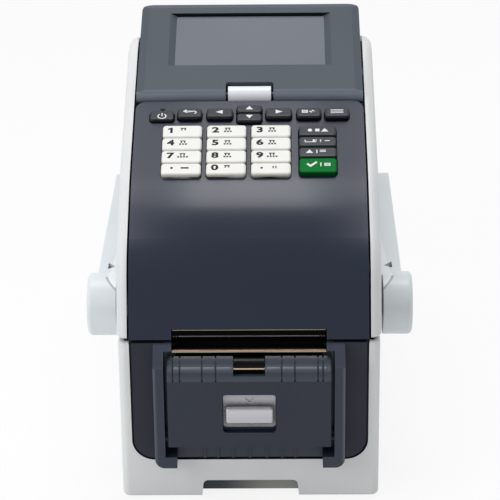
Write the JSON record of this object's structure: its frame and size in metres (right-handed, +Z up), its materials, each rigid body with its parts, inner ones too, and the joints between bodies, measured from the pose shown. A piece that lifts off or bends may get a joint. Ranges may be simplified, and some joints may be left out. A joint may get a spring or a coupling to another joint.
{
  "type": "label printer",
  "caption": "Desktop label printer with a hinged lid, tilting display, keypad, side release levers, label slot and fold-down peeler door.",
  "frame": {"origin": "middle of the footprint at table height, halfway between the latch grip and the rear wall", "axes": "+Z up, -Y towards the front with the label slot, +X to the right of somebody facing it"},
  "size_m": [0.1402, 0.2246, 0.1671],
  "materials": {
    "light_casing": "fine moulded texture",
    "dark_cover": "fine moulded texture",
    "display_shell": "fine moulded texture",
    "window": "polished, over an unlit grey display",
    "key_white": "satin",
    "key_dark": "satin",
    "key_green": "satin",
    "lever_grey": "fine moulded texture",
    "bezel_dark": "fine moulded texture",
    "door_dark": "satin",
    "latch_silver": "silver paint",
    "roller_grey": "ground",
    "platen_black": "ground",
    "steel": "zinc plated",
    "bronze": "sintered",
    "gear_white": "moulded",
    "inner_dark": "moulded",
    "guide_blue": "moulded",
    "board_green": "solder resist",
    "head_metal": "as rolled",
    "knuckle_light": "moulded",
    "lens_dark": "polished"
  },
  "bodies": {
    "base": {"bottom_housing": "light_casing", "base_plate": "inner_dark", "case_screws": "steel", "front_bezel": "bezel_dark", "peeler_frame": "bezel_dark", "peel_bar": "steel", "roll_compartment": "inner_dark", "main_board": "board_green", "stepper_motor": "steel", "platen_bearings": "bronze", "lid_hinge_pin": "steel"},
    "lid": {"lid_casing": "light_casing", "lid_cover": "dark_cover", "lid_inner": "inner_dark", "print_head": "head_metal", "tear_bar": "steel", "keypad_board": "board_green", "indicator_lens": "lens_dark", "display_knuckle": "knuckle_light"},
    "display": {"display_housing": "display_shell", "display_window": "window"},
    "door": {"peeler_door": "door_dark"},
    "latch": {"peeler_latch": "latch_silver"},
    "door_roller": {"peeler_roller": "roller_grey"},
    "left_lever": {"release_lever_left": "lever_grey"},
    "right_lever": {"release_lever_right": "lever_grey"},
    "platen": {"platen_shaft": "steel", "platen_rubber": "platen_black", "platen_gear": "gear_white"},
    "idler": {"idler_gear": "gear_white"},
    "motor_drive": {"motor_pinion": "steel"},
    "left_guide": {"media_guide_left": "guide_blue", "guide_rack_left": "guide_blue"},
    "right_guide": {"media_guide_right": "guide_blue", "guide_rack_right": "guide_blue"},
    "guide_gear": {"guide_pinion": "gear_white"},
    "cap_1": {"key_1": "key_white"},
    "cap_2": {"key_2": "key_white"},
    "cap_3": {"key_3": "key_white"},
    "cap_4": {"key_4": "key_white"},
    "cap_5": {"key_5": "key_white"},
    "cap_6": {"key_6": "key_white"},
    "cap_7": {"key_7": "key_white"},
    "cap_8": {"key_8": "key_white"},
    "cap_9": {"key_9": "key_white"},
    "cap_symbol": {"key_symbol": "key_white"},
    "cap_0": {"key_0": "key_white"},
    "cap_point": {"key_point": "key_white"},
    "cap_power": {"key_power": "key_dark"},
    "cap_back": {"key_back": "key_dark"},
    "cap_left": {"key_left": "key_dark"},
    "cap_right": {"key_right": "key_dark"},
    "cap_up": {"key_up": "key_dark"},
    "cap_down": {"key_down": "key_dark"},
    "cap_feed": {"key_feed": "key_dark"},
    "cap_menu": {"key_menu": "key_dark"},
    "cap_mode": {"key_mode": "key_dark"},
    "cap_space": {"key_space": "key_dark"},
    "cap_case": {"key_case": "key_dark"},
    "cap_ok": {"key_ok": "key_green"}
  },
  "joints": [
    {"name": "lid_hinge", "type": "hinge", "parent": "base", "child": "lid", "pos_m": [0, 0.1003, 0.1125], "axis": [-1, 0, 0], "range_deg": [0, 85]},
    {"name": "display_tilt", "type": "hinge", "parent": "lid", "child": "display", "pos_m": [0, -0.0011, 0.14629], "axis": [1, 0, 0], "range_deg": [0, 60]},
    {"name": "peeler_door_hinge", "type": "hinge", "parent": "base", "child": "door", "pos_m": [0, -0.1067, 0.0315], "axis": [1, 0, 0], "range_deg": [0, 75]},
    {"name": "peeler_latch_slide", "type": "slide", "parent": "door", "child": "latch", "axis": [0, 0, -1], "range_m": [0, 0.0019], "stiffness_N_per_m": 300, "springref_m": -0.002},
    {"name": "left_lever_hinge", "type": "hinge", "parent": "base", "child": "left_lever", "pos_m": [-0.058, 0.0603, 0.0715], "axis": [-1, 0, 0], "range_deg": [0, 12], "stiffness_Nm_per_rad": 0.3, "springref_deg": -8.59},
    {"name": "right_lever_hinge", "type": "hinge", "parent": "base", "child": "right_lever", "pos_m": [0.058, 0.0603, 0.0715], "axis": [-1, 0, 0], "range_deg": [0, 12], "stiffness_Nm_per_rad": 0.3, "springref_deg": -8.59},
    {"name": "platen_spin", "type": "hinge", "parent": "base", "child": "platen", "pos_m": [0, -0.0907, 0.0675], "axis": [1, 0, 0], "continuous": true},
    {"name": "idler_spin", "type": "hinge", "parent": "base", "child": "idler", "pos_m": [-0.044, -0.0807, 0.05111], "axis": [1, 0, 0], "continuous": true},
    {"name": "motor_spin", "type": "hinge", "parent": "base", "child": "motor_drive", "pos_m": [-0.044, -0.07216, 0.03572], "axis": [1, 0, 0], "continuous": true},
    {"name": "left_guide_slide", "type": "slide", "parent": "base", "child": "left_guide", "axis": [1, 0, 0], "range_m": [0, 0.0225]},
    {"name": "right_guide_slide", "type": "slide", "parent": "base", "child": "right_guide", "axis": [1, 0, 0], "range_m": [-0.0225, 0]},
    {"name": "guide_pinion_spin", "type": "hinge", "parent": "base", "child": "guide_gear", "pos_m": [0, 0.0013, 0.0075], "axis": [0, 0, 1], "range_deg": [0, 184.3]},
    {"name": "door_roller_spin", "type": "hinge", "parent": "door", "child": "door_roller", "pos_m": [0, -0.1056, 0.0654], "axis": [1, 0, 0], "continuous": true},
    {"name": "press_1", "type": "slide", "parent": "lid", "child": "cap_1", "axis": [0, 0.3322, -0.9432], "range_m": [0, 0.0008], "stiffness_N_per_m": 500, "springref_m": -0.001},
    {"name": "press_2", "type": "slide", "parent": "lid", "child": "cap_2", "axis": [0, 0.3322, -0.9432], "range_m": [0, 0.0008], "stiffness_N_per_m": 500, "springref_m": -0.001},
    {"name": "press_3", "type": "slide", "parent": "lid", "child": "cap_3", "axis": [0, 0.3322, -0.9432], "range_m": [0, 0.0008], "stiffness_N_per_m": 500, "springref_m": -0.001},
    {"name": "press_4", "type": "slide", "parent": "lid", "child": "cap_4", "axis": [0, 0.3322, -0.9432], "range_m": [0, 0.0008], "stiffness_N_per_m": 500, "springref_m": -0.001},
    {"name": "press_5", "type": "slide", "parent": "lid", "child": "cap_5", "axis": [0, 0.3322, -0.9432], "range_m": [0, 0.0008], "stiffness_N_per_m": 500, "springref_m": -0.001},
    {"name": "press_6", "type": "slide", "parent": "lid", "child": "cap_6", "axis": [0, 0.3322, -0.9432], "range_m": [0, 0.0008], "stiffness_N_per_m": 500, "springref_m": -0.001},
    {"name": "press_7", "type": "slide", "parent": "lid", "child": "cap_7", "axis": [0, 0.3322, -0.9432], "range_m": [0, 0.0008], "stiffness_N_per_m": 500, "springref_m": -0.001},
    {"name": "press_8", "type": "slide", "parent": "lid", "child": "cap_8", "axis": [0, 0.3322, -0.9432], "range_m": [0, 0.0008], "stiffness_N_per_m": 500, "springref_m": -0.001},
    {"name": "press_9", "type": "slide", "parent": "lid", "child": "cap_9", "axis": [0, 0.3322, -0.9432], "range_m": [0, 0.0008], "stiffness_N_per_m": 500, "springref_m": -0.001},
    {"name": "press_symbol", "type": "slide", "parent": "lid", "child": "cap_symbol", "axis": [0, 0.3322, -0.9432], "range_m": [0, 0.0008], "stiffness_N_per_m": 500, "springref_m": -0.001},
    {"name": "press_0", "type": "slide", "parent": "lid", "child": "cap_0", "axis": [0, 0.3322, -0.9432], "range_m": [0, 0.0008], "stiffness_N_per_m": 500, "springref_m": -0.001},
    {"name": "press_point", "type": "slide", "parent": "lid", "child": "cap_point", "axis": [0, 0.3322, -0.9432], "range_m": [0, 0.0008], "stiffness_N_per_m": 500, "springref_m": -0.001},
    {"name": "press_power", "type": "slide", "parent": "lid", "child": "cap_power", "axis": [0, 0.3322, -0.9432], "range_m": [0, 0.0008], "stiffness_N_per_m": 500, "springref_m": -0.001},
    {"name": "press_back", "type": "slide", "parent": "lid", "child": "cap_back", "axis": [0, 0.3322, -0.9432], "range_m": [0, 0.0008], "stiffness_N_per_m": 500, "springref_m": -0.001},
    {"name": "press_left", "type": "slide", "parent": "lid", "child": "cap_left", "axis": [0, 0.3322, -0.9432], "range_m": [0, 0.0008], "stiffness_N_per_m": 500, "springref_m": -0.001},
    {"name": "press_right", "type": "slide", "parent": "lid", "child": "cap_right", "axis": [0, 0.3322, -0.9432], "range_m": [0, 0.0008], "stiffness_N_per_m": 500, "springref_m": -0.001},
    {"name": "press_up", "type": "slide", "parent": "lid", "child": "cap_up", "axis": [0, 0.3322, -0.9432], "range_m": [0, 0.0008], "stiffness_N_per_m": 500, "springref_m": -0.001},
    {"name": "press_down", "type": "slide", "parent": "lid", "child": "cap_down", "axis": [0, 0.3322, -0.9432], "range_m": [0, 0.0008], "stiffness_N_per_m": 500, "springref_m": -0.001},
    {"name": "press_feed", "type": "slide", "parent": "lid", "child": "cap_feed", "axis": [0, 0.3322, -0.9432], "range_m": [0, 0.0008], "stiffness_N_per_m": 500, "springref_m": -0.001},
    {"name": "press_menu", "type": "slide", "parent": "lid", "child": "cap_menu", "axis": [0, 0.3322, -0.9432], "range_m": [0, 0.0008], "stiffness_N_per_m": 500, "springref_m": -0.001},
    {"name": "press_mode", "type": "slide", "parent": "lid", "child": "cap_mode", "axis": [0, 0.3322, -0.9432], "range_m": [0, 0.0008], "stiffness_N_per_m": 500, "springref_m": -0.001},
    {"name": "press_space", "type": "slide", "parent": "lid", "child": "cap_space", "axis": [0, 0.3322, -0.9432], "range_m": [0, 0.0008], "stiffness_N_per_m": 500, "springref_m": -0.001},
    {"name": "press_case", "type": "slide", "parent": "lid", "child": "cap_case", "axis": [0, 0.3322, -0.9432], "range_m": [0, 0.0008], "stiffness_N_per_m": 500, "springref_m": -0.001},
    {"name": "press_ok", "type": "slide", "parent": "lid", "child": "cap_ok", "axis": [0, 0.3322, -0.9432], "range_m": [0, 0.0008], "stiffness_N_per_m": 500, "springref_m": -0.001}
  ],
  "couplings": [
    {"joint": "idler_spin", "follows": "platen_spin", "ratio": -0.5},
    {"joint": "motor_spin", "follows": "platen_spin", "ratio": 1.3333},
    {"joint": "right_guide_slide", "follows": "left_guide_slide", "ratio": -1},
    {"joint": "guide_pinion_spin", "follows": "left_guide_slide", "rad_per_m": 142.86}
  ]
}
